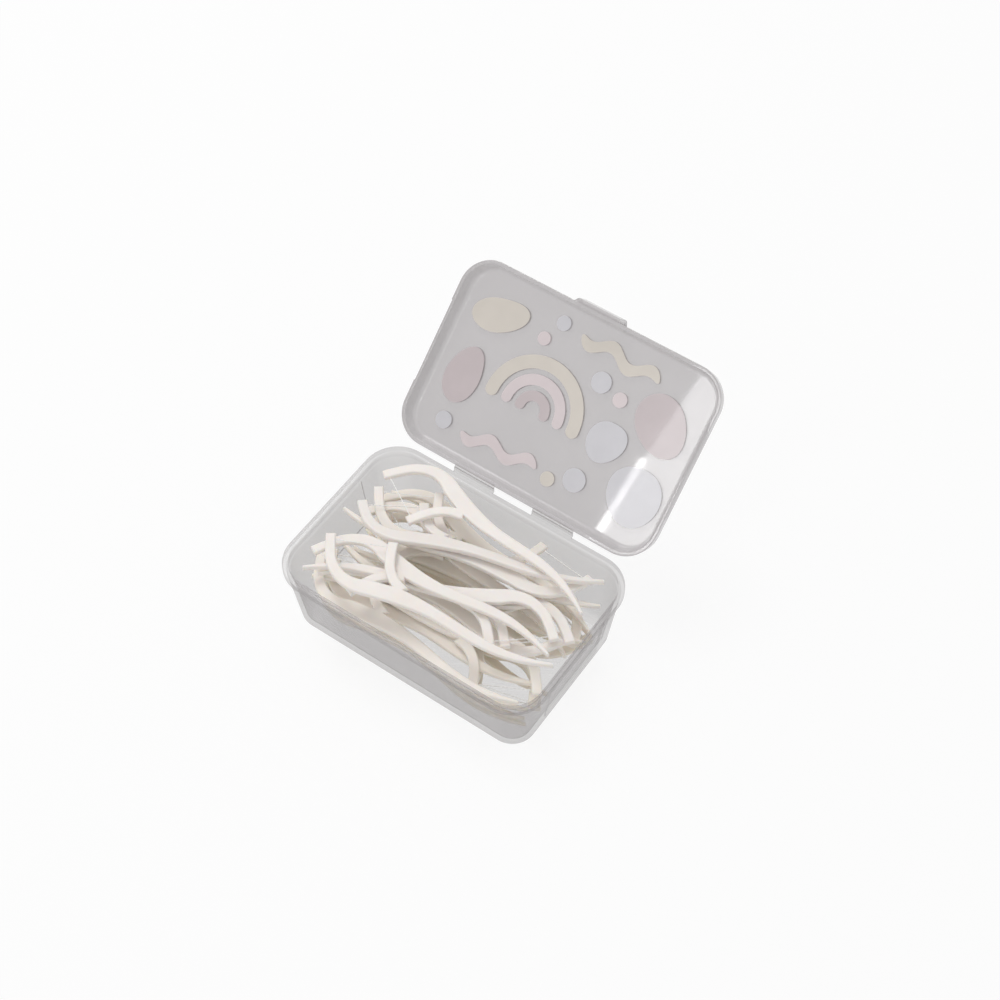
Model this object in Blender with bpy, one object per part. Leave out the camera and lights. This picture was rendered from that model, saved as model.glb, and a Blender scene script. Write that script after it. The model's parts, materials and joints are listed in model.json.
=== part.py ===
"""Pocket box of floss picks: a moulded tray and lid on two living hinges, open, full of picks.

Metres, Z up. The origin is the middle of the tray's underside. X runs along the box, the
hinges are on its +Y side and the catch is on its -Y side. The lid stands open.
"""

import math

import bmesh
import bpy
import numpy as np
from mathutils import Matrix

MM = 0.001

# Tray; its length is the pick's and some room at both ends
END_ROOM = 6.0 * MM
TRAY_WIDTH = 58.1 * MM
TRAY_HEIGHT = 27.0 * MM
TRAY_CORNER = 11.0 * MM
TRAY_WALL = 1.2 * MM
TRAY_DRAFT = 2.6 * MM
TRAY_FILLET = 3.0 * MM
FLANGE_HEIGHT = 2.5 * MM
FLANGE_REACH = 1.0 * MM
FLANGE_CHAMFER = 0.3 * MM
RIM_LEDGE = 0.3 * MM

# Lid
SEAM_GAP = 0.3 * MM
LID_DEPTH = 6.0 * MM
LID_WALL = 1.2 * MM
LID_DRAFT = 0.4 * MM
LID_FILLET = 2.2 * MM
LID_INNER_FILLET = 1.4 * MM
LID_END_INSET = 0.5 * MM
LID_SIDE_OVERHANG = 0.15 * MM
LID_CORNER = 10.0 * MM
LID_OPEN_DEGREES = 138.5

# Shallow finger recesses in the short sides
LID_RECESS_LENGTH = 26.0 * MM
LID_RECESS_DEPTH = 0.35 * MM
TRAY_RECESS_LENGTH = 26.0 * MM
TRAY_RECESS_DEPTH = 0.4 * MM
TRAY_RECESS_LOW = 5.0 * MM
TRAY_RECESS_HIGH = 22.5 * MM

# Thumb tab on the lid, with the bead that snaps under the tray's flange
TAB_LENGTH = 15.6 * MM
TAB_CORNER = 1.0 * MM
TAB_THICKNESS = 1.0 * MM
TAB_RISE = 2.8 * MM
TAB_FLANGE_GAP = 0.55 * MM
TAB_DROP_PAST_FLANGE = 0.4 * MM
BEAD_REACH = 0.25 * MM
BEAD_HEIGHT = 0.5 * MM

# Living hinges: an upright tongue on the tray, and a thin film on the crease
HINGE_OFFSET = 13.7 * MM
HINGE_LENGTH = 14.0 * MM
HINGE_REACH = 0.7 * MM
HINGE_RISE = 1.6 * MM
TONGUE_THICKNESS = 0.44 * MM
TONGUE_SHELF = 0.15 * MM
TONGUE_ROOT = 0.8 * MM
FILM_THICKNESS = 0.3 * MM
CREASE_GAP = 0.3 * MM
EMBED = 0.4 * MM

# Floss pick
PICK_LENGTH = 76.0 * MM
PICK_THICKNESS = 1.7 * MM
FLOSS_SPAN = 18.0 * MM
BOW_SLANT_DEGREES = 20.0
ARM_WIDTH = 2.9 * MM
NECK_WIDTH = 5.6 * MM
HANDLE_WIDTH = 3.6 * MM
HANDLE_BOW = 1.3 * MM
TIP_HOOK = 3.4 * MM
TIP_WIDTH = 0.8 * MM
FLOSS_THICKNESS = 0.4 * MM
FLOSS_INSET = 1.5 * MM
FLOSS_GAP = 0.3 * MM

# Pile
PILE_GAP = 0.32 * MM
PILE_CELL = 0.35 * MM
PILE_HEADROOM = 0.6 * MM
ROUNDING_SHARE = 0.00001
SAMPLE_STEP = 0.33 * MM
LOWER_STEP = 0.8 * MM
SETTLE_SHIFT = 1.4 * MM
SETTLE_TURN = 3.0
SETTLE_STEPS = 400
START_RISE = 12.0 * MM
START_TRIES = 200
ENOUGH_STARTS = 16
LOWER_TURN = 9.0
LOWER_ROLL = 3.0
LOWER_LOOSENESS = 0.7
UPPER_SPREAD = 12.5
UPPER_LOOSENESS = 0.5
LOWER_PICKS = 18
LOOK_INTERVAL = 16
SEED = 27

# Counts
CORNER_STEPS = 7
FILLET_STEPS = 4
CURVE_STEPS = 2
HANDLE_STEPS = 8
ROUND_SIDES = 6

# Middle lines of the bow's two arms, from their ends in to the neck, as shares of the thread's span:
# along the thread, and away from it
LONG_ARM_SHARES = (
    (-0.50, 0.00), (-0.46, 0.23), (-0.38, 0.51), (-0.19, 0.75), (0.08, 0.87), (0.39, 0.88))
SHORT_ARM_SHARES = (
    (0.50, 0.00), (0.505, 0.23), (0.54, 0.47), (0.65, 0.69), (0.84, 0.86))

# How far the middles of the lower picks lie from the tray's, as shares of the free half length and
# half width
LOWER_SPREAD_SHARES = (0.12, 0.85)

# Upper picks, from the lowest: middle of the pick as shares of the same halves, and its turn, roll
# and pitch in degrees. A turn near 180 puts the bow to the right, and a roll near 180 turns the
# pick over.
UPPER_PLACE_SHARES = (
    (0.00, -0.68, 180.0, 175.0, 0.0),
    (0.05, 0.65, 8.0, 185.0, 0.0),
    (-0.05, 0.25, 188.0, -5.0, 0.0),
    (0.05, 0.22, 20.0, 160.0, 0.0),
    (-0.09, -0.10, 196.0, 180.0, 2.0),
    (-0.11, -0.38, -21.0, -14.0, -5.0),
    (0.08, 0.74, -7.0, 8.0, 0.0),
    (0.11, -0.70, -1.9, 180.0, -2.3),
)

# Colours, roughness and metallic value
FROSTED_PLASTIC = ((0.62, 0.61, 0.63, 1.0), 0.45, 0.0)
PICK_PLASTIC = ((0.86, 0.82, 0.78, 1.0), 0.40, 0.0)
FLOSS_FIBRE = ((0.90, 0.88, 0.85, 1.0), 0.50, 0.0)

UP = np.array((0, 0, 1, 0, 0, 0))

# Worked out from the sizes above
TRAY_LENGTH = PICK_LENGTH + 2 * END_ROOM
LID_LENGTH = TRAY_LENGTH - 2 * LID_END_INSET
LID_WIDTH = TRAY_WIDTH + 2 * LID_SIDE_OVERHANG
HINGE_Y = TRAY_WIDTH / 2 + HINGE_REACH
HINGE_Z = TRAY_HEIGHT + HINGE_RISE
RIM_INSET = FLANGE_REACH + TRAY_WALL - RIM_LEDGE
WALL_INSET = FLANGE_REACH + TRAY_WALL
FLOOR_INSET = FLANGE_REACH + TRAY_DRAFT + TRAY_WALL
FREE_HALVES = np.array((TRAY_LENGTH / 2 - RIM_INSET, TRAY_WIDTH / 2 - RIM_INSET))


def clear_scene():
    for thing in list(bpy.data.objects):
        bpy.data.objects.remove(thing, do_unlink=True)


def make_material(name, finish):
    colour, roughness, metallic = finish
    material = bpy.data.materials.new(name)
    material.use_nodes = True
    shader = material.node_tree.nodes["Principled BSDF"]
    shader.inputs["Base Color"].default_value = colour
    shader.inputs["Roughness"].default_value = roughness
    shader.inputs["Metallic"].default_value = metallic
    return material


def make_object(name, mesh, material):
    piece = bpy.data.objects.new(name, mesh)
    bpy.context.scene.collection.objects.link(piece)
    piece.data.materials.append(material)
    return piece


def mesh_from(shape, name):
    bmesh.ops.recalc_face_normals(shape, faces=shape.faces)
    mesh = bpy.data.meshes.new(name)
    shape.to_mesh(mesh)
    shape.free()
    return mesh


# Rounded boxes made of rings

def rounded_outline(length, width, corner, inset):
    """Points of a rectangle with round corners, drawn in by the inset."""
    radius = max(corner - inset, corner / CORNER_STEPS)
    middle_x = length / 2 - inset - radius
    middle_y = width / 2 - inset - radius
    points = []
    for quarter, (side_x, side_y) in enumerate(((1, 1), (-1, 1), (-1, -1), (1, -1))):
        for step in range(CORNER_STEPS + 1):
            angle = (quarter + step / CORNER_STEPS) * math.pi / 2
            x = side_x * middle_x + radius * math.cos(angle)
            y = side_y * middle_y + radius * math.sin(angle)
            points.append((x, y))
    return points


def shell_from_profile(profile, length, width, corner, name):
    """A closed shell: one ring for each (inset, height), and a flat face on both end rings."""
    shape = bmesh.new()
    rings = []
    for inset, height in profile:
        outline = rounded_outline(length, width, corner, inset)
        rings.append([shape.verts.new((x, y, height)) for x, y in outline])
    count = len(rings[0])
    for lower, upper in zip(rings, rings[1:]):
        for i in range(count):
            j = (i + 1) % count
            shape.faces.new((lower[i], lower[j], upper[j], upper[i]))
    shape.faces.new(rings[0])
    shape.faces.new(rings[-1])
    return mesh_from(shape, name)


def quarter_round(middle_inset, middle_height, radius, first, last):
    """Profile points round a quarter circle, between two angles in degrees."""
    points = []
    for step in range(FILLET_STEPS + 1):
        angle = math.radians(first + (last - first) * step / FILLET_STEPS)
        inset = middle_inset - radius * math.cos(angle)
        height = middle_height + radius * math.sin(angle)
        points.append((inset, height))
    return points


def tray_inner_profile():
    """The tray's inside, from the middle of its floor up to the rim's inner edge."""
    radius = TRAY_FILLET - TRAY_WALL / 2
    rise = TRAY_WALL + radius
    profile = quarter_round(FLOOR_INSET + radius, rise, radius, -90, 0)
    profile.append((WALL_INSET, TRAY_HEIGHT - FLANGE_HEIGHT))
    profile.append((RIM_INSET, TRAY_HEIGHT - FLANGE_HEIGHT))
    profile.append((RIM_INSET, TRAY_HEIGHT))
    return profile


def tray_profile():
    wall_foot = FLANGE_REACH + TRAY_DRAFT
    flange_foot = TRAY_HEIGHT - FLANGE_HEIGHT
    outer = quarter_round(wall_foot + TRAY_FILLET, TRAY_FILLET, TRAY_FILLET, -90, 0)
    outer.append((FLANGE_REACH, flange_foot))
    outer.append((FLANGE_CHAMFER, flange_foot))
    outer.append((0, flange_foot + FLANGE_CHAMFER))
    outer.append((0, TRAY_HEIGHT - FLANGE_CHAMFER))
    outer.append((FLANGE_CHAMFER, TRAY_HEIGHT))
    return outer + tray_inner_profile()[::-1]


def lid_profile():
    """The lid's section, closed way up, with its rim at zero height."""
    shoulder = LID_DEPTH - LID_FILLET
    outer = quarter_round(LID_DRAFT + LID_FILLET, shoulder, LID_FILLET, 90, 0)
    inner_foot = LID_DRAFT + LID_WALL
    inner_shoulder = LID_DEPTH - LID_WALL - LID_INNER_FILLET
    inner = quarter_round(
        inner_foot + LID_INNER_FILLET, inner_shoulder, LID_INNER_FILLET, 0, 90)
    return outer + [(0, 0), (LID_WALL, 0)] + inner


# Cutters and bosses

def prism_along_x(section, length, middle_x, name):
    """A solid with the given (y, z) section, running along X."""
    shape = bmesh.new()
    ends = []
    for side in (-1, 1):
        x = middle_x + side * length / 2
        ends.append([shape.verts.new((x, y, z)) for y, z in section])
    count = len(section)
    for i in range(count):
        j = (i + 1) % count
        shape.faces.new((ends[0][i], ends[0][j], ends[1][j], ends[1][i]))
    shape.faces.new(ends[0])
    shape.faces.new(ends[1])
    return mesh_from(shape, name)


def block(low, high, name):
    section = ((low[1], low[2]), (high[1], low[2]), (high[1], high[2]), (low[1], high[2]))
    return prism_along_x(section, high[0] - low[0], (low[0] + high[0]) / 2, name)


def combine(piece, mesh, operation):
    """Unite a solid with the piece, or cut it away, in the piece's own frame."""
    tool = bpy.data.objects.new(mesh.name, mesh)
    bpy.context.scene.collection.objects.link(tool)
    tool.hide_render = True
    tool.display_type = "WIRE"
    tool.parent = piece.parent
    tool.location = piece.location
    tool.rotation_euler = piece.rotation_euler
    modifier = piece.modifiers.new(mesh.name, "BOOLEAN")
    modifier.operation = operation
    modifier.object = tool


def shade(piece):
    piece.data.shade_smooth()
    piece.data.set_sharp_from_angle(angle=math.radians(40))


# Tray

def tongue_section():
    """The tongue's section: out of the flange's side, then straight up to the crease."""
    half = TONGUE_THICKNESS / 2
    top = HINGE_Z - FILM_THICKNESS / 2 - CREASE_GAP
    shelf = TRAY_HEIGHT - TONGUE_SHELF
    root_y = HINGE_Y - HINGE_REACH - EMBED
    root_z = shelf - TONGUE_ROOT
    return (
        (HINGE_Y + half, top),
        (HINGE_Y - half, top),
        (HINGE_Y - half, shelf),
        (root_y, shelf),
        (root_y, root_z),
        (HINGE_Y, root_z + half),
        (HINGE_Y + half, shelf - half),
    )


def cut_tray_recesses(tray):
    """Shallow recesses in the short walls, as deep at the foot as at the top."""
    wall_top = TRAY_HEIGHT - FLANGE_HEIGHT
    lean = TRAY_DRAFT / (wall_top - TRAY_FILLET)
    for side in (-1, 1):
        mesh = block(
            (-TRAY_RECESS_DEPTH, -TRAY_RECESS_LENGTH / 2, TRAY_RECESS_LOW),
            (TRAY_RECESS_DEPTH, TRAY_RECESS_LENGTH / 2, TRAY_RECESS_HIGH), "tray_recess_cutter")
        for vertex in mesh.vertices:
            inset = FLANGE_REACH + (wall_top - vertex.co.z) * lean
            vertex.co.x += side * (TRAY_LENGTH / 2 - inset)
        combine(tray, mesh, "DIFFERENCE")


def build_tray(material):
    mesh = shell_from_profile(tray_profile(), TRAY_LENGTH, TRAY_WIDTH, TRAY_CORNER, "tray")
    tray = make_object("tray", mesh, material)
    shade(tray)
    for side in (-1, 1):
        tongue = prism_along_x(tongue_section(), HINGE_LENGTH, side * HINGE_OFFSET, "tongue")
        combine(tray, tongue, "UNION")
    return tray


def build_films(material):
    """The thin creases that the lid turns on, each a strip along the joint's axis."""
    for side, place in ((-1, "left"), (1, "right")):
        section = []
        for step in range(ROUND_SIDES):
            angle = (step + 1 / 2) * 2 * math.pi / ROUND_SIDES
            y = FILM_THICKNESS / 2 * math.cos(angle)
            z = FILM_THICKNESS / 2 * math.sin(angle)
            section.append((y, z))
        mesh = prism_along_x(section, HINGE_LENGTH, side * HINGE_OFFSET, "hinge_film_" + place)
        film = make_object("hinge_film_" + place, mesh, material)
        film.location = (0, HINGE_Y, HINGE_Z)


# Lid

def tab_section():
    """The thumb tab and its snap bead, as (distance out from the lid's skirt, height)."""
    inner = TAB_FLANGE_GAP - LID_SIDE_OVERHANG
    outer = inner + TAB_THICKNESS
    drop = SEAM_GAP + FLANGE_HEIGHT + TAB_DROP_PAST_FLANGE
    ease = TAB_THICKNESS / 3
    return (
        (-EMBED, TAB_RISE),
        (outer - ease, TAB_RISE),
        (outer, TAB_RISE - ease),
        (outer, ease - drop),
        (outer - ease, -drop),
        (inner - BEAD_REACH, -drop),
        (inner - BEAD_REACH, BEAD_HEIGHT - drop),
        (inner, BEAD_HEIGHT + BEAD_REACH - drop),
        (inner, SEAM_GAP),
        (-EMBED, SEAM_GAP),
    )


def tab_mesh():
    """The tab in the lid's closed frame, its far corners cut off at a slant."""
    rim_y = -LID_WIDTH / 2
    section = [(rim_y - out, height) for out, height in tab_section()]
    mesh = prism_along_x(section, TAB_LENGTH, 0, "thumb_tab")
    outer_y = min(y for y, height in section)
    for vertex in mesh.vertices:
        if vertex.co.y < outer_y + TAB_CORNER:
            slant = TAB_CORNER * (1 - (vertex.co.y - outer_y) / TAB_CORNER)
            vertex.co.x -= math.copysign(slant, vertex.co.x)
    return mesh


def hang_on_hinge(mesh):
    """Move a mesh from the lid's closed frame to the frame whose origin is on the hinge axis."""
    mesh.transform(Matrix.Translation((0, -HINGE_Y, TRAY_HEIGHT + SEAM_GAP - HINGE_Z)))
    return mesh


def build_lid(material):
    mesh = shell_from_profile(lid_profile(), LID_LENGTH, LID_WIDTH, LID_CORNER, "lid")
    lid = make_object("lid", hang_on_hinge(mesh), material)
    shade(lid)
    lid.location = (0, HINGE_Y, HINGE_Z)
    lid.rotation_euler = (-math.radians(LID_OPEN_DEGREES), 0, 0)
    combine(lid, hang_on_hinge(tab_mesh()), "UNION")
    for side in (-1, 1):
        near = side * (LID_LENGTH / 2 - LID_RECESS_DEPTH)
        far = side * (LID_LENGTH / 2 + LID_RECESS_DEPTH)
        low = (min(near, far), -LID_RECESS_LENGTH / 2, -LID_WALL)
        high = (max(near, far), LID_RECESS_LENGTH / 2, LID_DEPTH - LID_FILLET)
        combine(lid, hang_on_hinge(block(low, high, "lid_recess_cutter")), "DIFFERENCE")
    return lid


# Floss pick, flat in its own frame: bow at -X, pointed tip at +X, thread on the -Y side

def bow_point(shares):
    """A point of the bow, turned by its slant, with the long arm's end at the pick's start."""
    slant = math.radians(BOW_SLANT_DEGREES)
    turned = []
    for along, away in (LONG_ARM_SHARES[0], LONG_ARM_SHARES[-1], shares):
        x = along * math.cos(slant) + away * math.sin(slant)
        y = away * math.cos(slant) - along * math.sin(slant)
        turned.append((x * FLOSS_SPAN, y * FLOSS_SPAN))
    (start_x, _), (_, neck_y), (x, y) = turned
    return x - start_x + ARM_WIDTH / 3 - PICK_LENGTH / 2, y - neck_y


def smooth(points):
    """A smooth curve through the points, with the same few steps between each two."""
    points = [np.array(point) for point in points]
    before = 2 * points[0] - points[1]
    after = 2 * points[-1] - points[-2]
    padded = [before] + points + [after]
    curve = []
    for p0, p1, p2, p3 in zip(padded, padded[1:], padded[2:], padded[3:]):
        for step in range(CURVE_STEPS):
            t = step / CURVE_STEPS
            slope = (p2 - p0) * t + (2 * p0 - 5 * p1 + 4 * p2 - p3) * t ** 2
            curve.append(p1 + (slope + (3 * p1 - p0 - 3 * p2 + p3) * t ** 3) / 2)
    return curve + [points[-1]]


def handle_middle(share):
    """How far the handle's middle line lies to one side, along its length."""
    return -HANDLE_BOW * math.sin(2 * math.pi * share) - TIP_HOOK * share ** 4


def handle_width(share):
    """Neck, then an even handle, then the point."""
    broad = HANDLE_WIDTH + (NECK_WIDTH - HANDLE_WIDTH) * max(1 - 3 * share, 0)
    return TIP_WIDTH + (broad - TIP_WIDTH) * (1 - share ** 3)


def spine():
    """Middle line and widths from the long arm's end, round the bow and along the handle."""
    middle = smooth([bow_point(shares) for shares in LONG_ARM_SHARES])
    count = len(middle) - 1
    widths = [ARM_WIDTH + (NECK_WIDTH - ARM_WIDTH) * (i / count) ** 3 for i in range(count + 1)]
    start = middle[-1]
    for step in range(1, HANDLE_STEPS + 1):
        share = step / HANDLE_STEPS
        x = start[0] + share * (PICK_LENGTH / 2 - start[0])
        middle.append(np.array((x, handle_middle(share))))
        widths.append(handle_width(share))
    return middle, widths


def sides(middle, widths):
    """Points to the left and to the right of a middle line."""
    left, right = [], []
    for i, point in enumerate(middle):
        ahead = middle[min(i + 1, len(middle) - 1)] - middle[max(i - 1, 0)]
        across = np.array((-ahead[1], ahead[0])) / math.hypot(*ahead) * widths[i] / 2
        left.append(point + across)
        right.append(point - across)
    return left, right


def pick_outline():
    """The pick seen from above, with the middle of its length at the origin."""
    middle, widths = spine()
    outer, inner = sides(middle, widths)
    prong = smooth([bow_point(shares) for shares in SHORT_ARM_SHARES])
    prong_outer, prong_inner = sides(prong, [ARM_WIDTH] * len(prong))[::-1]
    bow_count = (len(LONG_ARM_SHARES) - 1) * CURVE_STEPS + 1
    handle = inner[bow_count + 1:]
    crotch = [point for point in prong_inner[:-1] if point[1] < inner[bow_count - 1][1]]
    outline = outer + handle[::-1] + prong_outer[::-1] + crotch + inner[:bow_count - 1][::-1]
    return [tuple(point) for point in outline]


def floss_ends():
    """The thread's ends, just short of the arms' inner sides."""
    ends = []
    for arm in (LONG_ARM_SHARES, SHORT_ARM_SHARES):
        end = np.array(bow_point(arm[0]))
        up_the_arm = np.array(bow_point(arm[1])) - end
        ends.append(end + up_the_arm / math.hypot(*up_the_arm) * FLOSS_INSET)
    span = ends[1] - ends[0]
    along = span / math.hypot(*span) * (ARM_WIDTH / 2 + FLOSS_GAP)
    return ends[0] + along, ends[1] - along


def pick_mesh():
    shape = bmesh.new()
    base = [shape.verts.new((x, y, -PICK_THICKNESS / 2)) for x, y in pick_outline()]
    face = shape.faces.new(base)
    result = bmesh.ops.extrude_face_region(shape, geom=[face])
    raised = [item for item in result["geom"] if isinstance(item, bmesh.types.BMVert)]
    bmesh.ops.translate(shape, verts=raised, vec=(0, 0, PICK_THICKNESS))
    return mesh_from(shape, "pick")


def floss_mesh():
    """The thread from arm to arm, just short of both."""
    shape = bmesh.new()
    first, second = floss_ends()
    middle = (first + second) / 2
    span = second - first
    turn = math.atan2(span[1], span[0])
    lie = Matrix.Translation((*middle, 0))
    lie = lie @ Matrix.Rotation(turn, 4, "Z") @ Matrix.Rotation(math.pi / 2, 4, "Y")
    bmesh.ops.create_cone(
        shape, cap_ends=True, segments=ROUND_SIDES, radius1=FLOSS_THICKNESS / 2,
        radius2=FLOSS_THICKNESS / 2, depth=math.hypot(*span), matrix=lie)
    return mesh_from(shape, "floss")


# Pile: a map of filled cells, in which each pick in turn sinks as low as it can

def outline_mask(points, outline):
    """Which of the points lie inside the outline."""
    inside = np.zeros(len(points), dtype=bool)
    x, y = points[:, 0], points[:, 1]
    for (x0, y0), (x1, y1) in zip(outline, outline[1:] + outline[:1]):
        if y0 == y1:
            continue
        crosses = (y0 > y) != (y1 > y)
        inside ^= crosses & (x < (x1 - x0) * (y - y0) / (y1 - y0) + x0)
    return inside


def outline_edge(outline):
    """Points along the outline, a sample step apart."""
    edge = []
    for (x0, y0), (x1, y1) in zip(outline, outline[1:] + outline[:1]):
        steps = max(1, math.ceil(math.hypot(x1 - x0, y1 - y0) / SAMPLE_STEP))
        for step in range(steps):
            edge.append((x0 + (x1 - x0) * step / steps, y0 + (y1 - y0) * step / steps))
    return np.array(edge)


def pick_samples():
    """Points all over a pick and its floss, near enough together to miss no cell of the map."""
    outline = pick_outline()
    xs, ys = np.array(outline).T
    grid_x = np.arange(xs.min(), xs.max(), SAMPLE_STEP)
    grid_y = np.arange(ys.min(), ys.max(), SAMPLE_STEP)
    flat = np.array(np.meshgrid(grid_x, grid_y)).reshape(2, -1).T
    flat = flat[outline_mask(flat, outline)]
    edge = outline_edge(outline)
    layers = []
    count = math.ceil(PICK_THICKNESS / SAMPLE_STEP) + 1
    for height in np.linspace(-PICK_THICKNESS / 2, PICK_THICKNESS / 2, count):
        on_face = abs(height) + SAMPLE_STEP / 2 > PICK_THICKNESS / 2
        plan = np.vstack([flat, edge]) if on_face else edge
        layers.append(np.column_stack([plan, np.full(len(plan), height)]))
    first, second = floss_ends()
    thread = np.linspace(first, second, math.ceil(math.dist(first, second) / SAMPLE_STEP) + 1)
    layers.append(np.column_stack([thread, np.zeros(len(thread))]))
    samples = np.vstack(layers)
    return samples[np.random.default_rng(SEED).permutation(len(samples))]


def tray_inset(x, y):
    """How far inside the tray's outer outline a place lies."""
    over_x = np.abs(x) - (TRAY_LENGTH / 2 - TRAY_CORNER)
    over_y = np.abs(y) - (TRAY_WIDTH / 2 - TRAY_CORNER)
    beyond = np.hypot(np.maximum(over_x, 0), np.maximum(over_y, 0))
    return TRAY_CORNER - beyond - np.minimum(np.maximum(over_x, over_y), 0)


class CellMap:
    """Small cells over the tray, each marked where something fills it or comes too near."""

    def __init__(self):
        margin = PILE_GAP + PILE_CELL * (1 / 2 + ROUNDING_SHARE)
        self.low = np.array((-TRAY_LENGTH / 2, -TRAY_WIDTH / 2, 0))
        size = np.array((TRAY_LENGTH, TRAY_WIDTH, TRAY_HEIGHT + PICK_LENGTH))
        self.shape = np.ceil(size / PILE_CELL).astype(int)
        across, along, up = [(np.arange(count) + 1 / 2) * PILE_CELL for count in self.shape]
        x, y = np.meshgrid(across + self.low[0], along + self.low[1], indexing="ij")
        inset = tray_inset(x, y) - margin
        profile = sorted(tray_inner_profile(), key=lambda point: (point[0], -point[1]))
        floor = np.interp(inset, [p[0] for p in profile], [p[1] for p in profile])
        floor[inset < RIM_INSET] = size[2]
        self.filled = up[None, None, :] < (floor + margin)[:, :, None]

    def cells(self, points):
        """The cell of each point; the tiny share settles the points that lie between two cells."""
        return ((points - self.low) / PILE_CELL - ROUNDING_SHARE).astype(int)

    def is_clear(self, points):
        cells = self.cells(points)
        if cells.min() < 0 or (cells >= self.shape).any():
            return False
        return not self.filled[tuple(cells.T)].any()

    def fill(self, points):
        """Mark the cells that hold the points, and all the cells round them."""
        cells = self.cells(points)
        for shift in np.ndindex(3, 3, 3):
            moved = np.clip(cells + np.array(shift) - 1, 0, self.shape - 1)
            self.filled[tuple(moved.T)] = True


def pick_turn(turn, roll, pitch):
    """The rotation that rolls a pick about its length, pitches it, and then turns it."""
    rolled = Matrix.Rotation(math.radians(roll), 3, "X")
    pitched = Matrix.Rotation(math.radians(pitch), 3, "Y")
    turned = Matrix.Rotation(math.radians(turn), 3, "Z")
    return turned @ pitched @ rolled


def placed(samples, place):
    return samples @ np.array(pick_turn(*place[3:])).T + place[:3]


def is_clear(place, samples, cell_map):
    """Whether a pick has room there; a few of its points are tried before the rest."""
    few = len(samples) // LOOK_INTERVAL
    if not cell_map.is_clear(placed(samples[:few], place)):
        return False
    return cell_map.is_clear(placed(samples, place))


def height_cost(place, samples):
    """The pick's own height, and more where it stands up above the closed lid's inside."""
    heights = placed(samples[::LOOK_INTERVAL], place)[:, 2]
    ceiling = TRAY_HEIGHT + SEAM_GAP + LID_DEPTH - LID_WALL - PILE_HEADROOM
    return heights.mean() + max(heights.max() - ceiling, 0)


def lower_tries(height, chance):
    """Starts for a lower pick: anywhere across the tray, either end first and either face up."""
    tries = []
    for attempt in range(START_TRIES):
        x, y = chance.uniform(-1, 1, 2) * LOWER_SPREAD_SHARES * FREE_HALVES
        turn, roll = chance.integers(0, 2, 2) * 180 + chance.uniform(-1, 1, 2) * (LOWER_TURN, LOWER_ROLL)
        tries.append(np.array((x, y, height, turn, roll, 0)))
    return tries


def upper_tries(row, height, chance):
    """Starts for an upper pick: its place in the table, and ever further from it."""
    x, y = row[:2] * FREE_HALVES
    reach = np.array((SETTLE_SHIFT, SETTLE_SHIFT, 0, SETTLE_TURN, SETTLE_TURN, 0)) * UPPER_SPREAD
    tries = []
    for attempt in range(START_TRIES):
        away = chance.normal(size=6) * reach * attempt / START_TRIES
        tries.append(np.array((x, y, height, *row[2:])) + away)
    return tries


def lowest_start(tries, samples, cell_map):
    """Of the first tries that have room, the one that drops the lowest."""
    dropped = []
    for place in tries:
        if len(dropped) < ENOUGH_STARTS and is_clear(place, samples, cell_map):
            while is_clear(place - LOWER_STEP * UP, samples, cell_map):
                place = place - LOWER_STEP * UP
            dropped.append(place)
    if not dropped:
        return tries[0] + PICK_LENGTH * UP
    return min(dropped, key=lambda place: height_cost(place, samples))


def settle(place, looseness, samples, cell_map, chance):
    """Keep each small seeded step that lets the pick lie lower, and lower it till it touches."""
    cost = height_cost(place, samples)
    reach = np.array((SETTLE_SHIFT / 2, SETTLE_SHIFT, SETTLE_SHIFT / 2,
                      SETTLE_TURN / 2, SETTLE_TURN, SETTLE_TURN / 3)) * looseness
    for step in range(SETTLE_STEPS):
        calm = 1 - step / SETTLE_STEPS
        trial = place + chance.normal(size=6) * reach * calm
        trial_cost = height_cost(trial, samples)
        if trial_cost < cost and is_clear(trial, samples, cell_map):
            place = trial
            cost = trial_cost
    while is_clear(place - PILE_CELL / 2 * UP, samples, cell_map):
        place = place - PILE_CELL / 2 * UP
    return place


def pile_places():
    """Where each pick of the pile comes to rest, from the floor up."""
    samples = pick_samples()
    cell_map = CellMap()
    chance = np.random.default_rng(SEED)
    places = []
    top = 0
    for number in range(LOWER_PICKS + len(UPPER_PLACE_SHARES)):
        if number < LOWER_PICKS:
            tries = lower_tries(top + START_RISE, chance)
            looseness = LOWER_LOOSENESS
        else:
            tries = upper_tries(UPPER_PLACE_SHARES[number - LOWER_PICKS], top + START_RISE, chance)
            looseness = UPPER_LOOSENESS
        start = lowest_start(tries, samples, cell_map)
        place = settle(start, looseness, samples, cell_map, chance)
        points = placed(samples, place)
        cell_map.fill(points)
        top = max(top, points[:, 2].max())
        places.append(place)
    return places


def build_pile(pick_material, floss_material):
    pick_shape = pick_mesh()
    floss_shape = floss_mesh()
    for number, place in enumerate(pile_places(), 1):
        matrix = Matrix.Translation(place[:3]) @ pick_turn(*place[3:]).to_4x4()
        pick = make_object("pick_%02d" % number, pick_shape.copy(), pick_material)
        floss = make_object("floss_%02d" % number, floss_shape.copy(), floss_material)
        pick.matrix_world = matrix
        floss.matrix_world = matrix


def main():
    clear_scene()
    plastic = make_material("frosted_plastic", FROSTED_PLASTIC)
    white = make_material("pick_plastic", PICK_PLASTIC)
    fibre = make_material("floss_fibre", FLOSS_FIBRE)
    tray = build_tray(plastic)
    cut_tray_recesses(tray)
    build_films(plastic)
    build_lid(plastic)
    build_pile(white, fibre)


main()
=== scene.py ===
"""Looks of an open pocket box of floss picks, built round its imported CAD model.

Metres, Z up, in the CAD model's frame: X runs along the box, the hinges are on its +Y side, and
the lid stands open. The tray and the lid are modelled again with finer edges, each pick and each
thread again at the place of its CAD solid, and the printed pattern is a generic one.
"""

import json
import math
from itertools import product

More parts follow.
